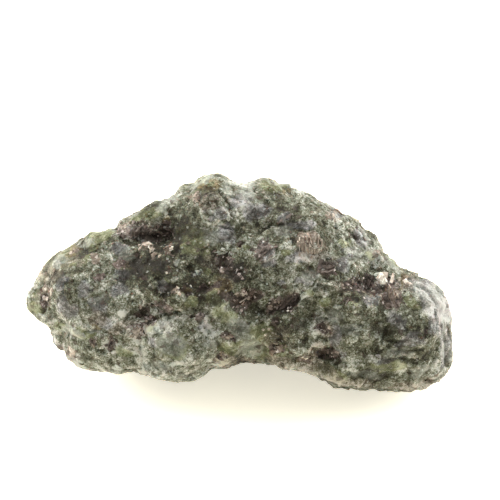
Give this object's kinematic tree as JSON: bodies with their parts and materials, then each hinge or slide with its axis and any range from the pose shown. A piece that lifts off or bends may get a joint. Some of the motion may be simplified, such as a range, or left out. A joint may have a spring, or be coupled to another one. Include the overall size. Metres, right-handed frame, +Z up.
{
  "type": "delessite mineral specimen",
  "caption": "Rough hand-sized lump of dark green massive chlorite with brown mica flakes and pale plates grown through it, lying on its side.",
  "frame": {"origin": "on the resting surface, below the middle of the stone's box", "axes": "+X along the stone, towards its blunt end; +Y away from the viewer, so the broad face looks towards -Y and up; +Z up"},
  "size_m": [0.0558, 0.0282, 0.0284],
  "materials": {
    "stone": "rough granular dark green chlorite, mottled pale and dark, dull with a faint silky glint"
  },
  "bodies": {
    "root": {"delessite_stone": "stone"}
  },
  "joints": []
}
